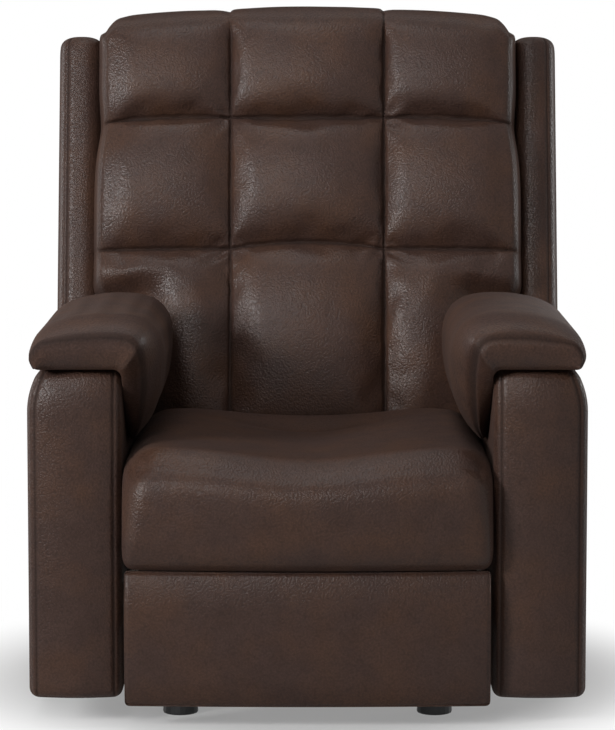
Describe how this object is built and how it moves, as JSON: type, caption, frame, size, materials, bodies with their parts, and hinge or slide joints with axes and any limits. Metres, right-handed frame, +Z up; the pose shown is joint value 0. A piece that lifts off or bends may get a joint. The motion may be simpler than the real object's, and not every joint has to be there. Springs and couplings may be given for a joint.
{
  "type": "power rocker recliner",
  "caption": "Leather armchair with pillow arms, a tufted back, a fold-out footrest on steel links, a motor drive and a rocker base on springs.",
  "frame": {"origin": "on the floor, below the middle of the bounding box", "axes": "+Z up, -Y the way the sitter faces, +X to the right of someone who looks at the front"},
  "size_m": [0.8706, 0.9756, 1.1029],
  "materials": {
    "leather": "satin",
    "beech": "matte",
    "black_plastic": "matte",
    "satin_metal": "satin",
    "zinc": "satin",
    "black_steel": "satin"
  },
  "bodies": {
    "base": {"base_rail_left": "beech", "base_rail_right": "beech", "base_cross_rail_front": "beech", "base_cross_rail_rear": "beech", "foot_front_left": "black_plastic", "foot_front_right": "black_plastic", "foot_rear_left": "black_plastic", "foot_rear_right": "black_plastic", "rocker_spring_front_left": "zinc", "rocker_spring_front_right": "zinc", "rocker_spring_rear_left": "zinc", "rocker_spring_rear_right": "zinc"},
    "chair": {"rocker_left": "beech", "rocker_right": "beech", "mechanism_rail_left": "black_steel", "mechanism_rail_right": "black_steel", "arm_left": "leather", "arm_right": "leather", "arm_pad_left": "leather", "arm_pad_right": "leather", "chair_cross_tube_front": "black_steel", "chair_cross_tube_rear": "black_steel", "rear_panel": "leather", "power_inlet": "black_plastic", "control_panel": "black_plastic", "actuator_motor": "black_plastic", "actuator_track": "zinc"},
    "button_recline": {"button_recline": "satin_metal"},
    "button_return": {"button_return": "satin_metal"},
    "swing_front": {"swing_link_front_left": "zinc", "swing_link_front_right": "zinc"},
    "swing_rear": {"swing_link_rear_left": "zinc", "swing_link_rear_right": "zinc"},
    "seat": {"seat_cushion": "leather", "seat_deck": "beech", "seat_plate_left": "black_steel", "seat_plate_right": "black_steel", "seat_rail_front": "beech", "seat_rail_rear": "beech"},
    "back": {"back_cushion": "leather", "back_frame": "beech", "back_shell": "leather", "back_wing_left": "leather", "back_wing_right": "leather", "back_bracket_left": "black_steel", "back_bracket_right": "black_steel"},
    "front_links": {"front_link_left": "zinc", "front_link_right": "zinc", "drive_tube": "black_steel"},
    "rear_links": {"rear_link_left": "zinc", "rear_link_right": "zinc"},
    "lower_links": {"lower_link_left": "zinc", "lower_link_right": "zinc"},
    "upper_links": {"upper_link_left": "zinc", "upper_link_right": "zinc"},
    "footrest": {"footrest_pad": "leather", "footrest_bracket_left": "black_steel", "footrest_bracket_right": "black_steel"},
    "carriage": {"actuator_carriage": "black_steel"}
  },
  "joints": [
    {"name": "rock", "type": "hinge", "parent": "base", "child": "chair", "pos_m": [0, 0, 0.095], "axis": [-1, 0, 0], "range_deg": [-3.5, 7], "stiffness_Nm_per_rad": 700, "deforming": ["rocker_spring_front_left", "rocker_spring_front_right", "rocker_spring_rear_left", "rocker_spring_rear_right"]},
    {"name": "press_recline", "type": "slide", "parent": "chair", "child": "button_recline", "axis": [1, 0, 0], "range_m": [0, 0.002], "stiffness_N_per_m": 500, "springref_m": -0.001},
    {"name": "press_return", "type": "slide", "parent": "chair", "child": "button_return", "axis": [1, 0, 0], "range_m": [0, 0.002], "stiffness_N_per_m": 500, "springref_m": -0.001},
    {"name": "front_swing", "type": "hinge", "parent": "chair", "child": "swing_front", "pos_m": [0, -0.23078, 0.20043], "axis": [1, 0, 0], "range_deg": [0, 35]},
    {"name": "rear_swing", "type": "hinge", "parent": "chair", "child": "swing_rear", "pos_m": [0, 0.06922, 0.20043], "axis": [1, 0, 0], "range_deg": [0, 35]},
    {"name": "seat_level", "type": "hinge", "parent": "swing_front", "child": "seat", "pos_m": [0, -0.2, 0.285], "axis": [1, 0, 0], "range_deg": [-35, 0]},
    {"name": "recline", "type": "hinge", "parent": "seat", "child": "back", "pos_m": [0, 0.2, 0.36], "axis": [-1, 0, 0], "range_deg": [0, 40]},
    {"name": "footrest_front_swing", "type": "hinge", "parent": "seat", "child": "front_links", "pos_m": [0, -0.31, 0.28], "axis": [-1, 0, 0], "range_deg": [0, 93]},
    {"name": "footrest_rear_swing", "type": "hinge", "parent": "seat", "child": "rear_links", "pos_m": [0, -0.2603, 0.252], "axis": [-1, 0, 0], "range_deg": [0, 92.8]},
    {"name": "lower_link_fold", "type": "hinge", "parent": "front_links", "child": "lower_links", "pos_m": [0, -0.21069, 0.06702], "axis": [-1, 0, 0], "range_deg": [-88, 0]},
    {"name": "upper_link_fold", "type": "hinge", "parent": "front_links", "child": "upper_links", "pos_m": [0, -0.23097, 0.11052], "axis": [-1, 0, 0], "range_deg": [-88, 0]},
    {"name": "footrest_turn", "type": "hinge", "parent": "lower_links", "child": "footrest", "pos_m": [0, -0.405, 0.17], "axis": [-1, 0, 0], "range_deg": [0, 88]},
    {"name": "actuator_drive", "type": "slide", "parent": "chair", "child": "carriage", "axis": [0, -1, 0], "range_m": [0, 0.1486]}
  ],
  "couplings": [
    {"joint": "front_swing", "follows": "recline", "ratio": 0.875},
    {"joint": "rear_swing", "follows": "recline", "ratio": 0.875},
    {"joint": "seat_level", "follows": "recline", "ratio": -0.875},
    {"joint": "footrest_front_swing", "follows": "recline", "ratio": 2.325},
    {"joint": "footrest_rear_swing", "follows": "recline", "ratio": 2.32},
    {"joint": "lower_link_fold", "follows": "recline", "ratio": -2.2},
    {"joint": "upper_link_fold", "follows": "recline", "ratio": -2.2},
    {"joint": "footrest_turn", "follows": "recline", "ratio": 2.2},
    {"joint": "actuator_drive", "follows": "recline", "m_per_rad": 0.2128}
  ]
}
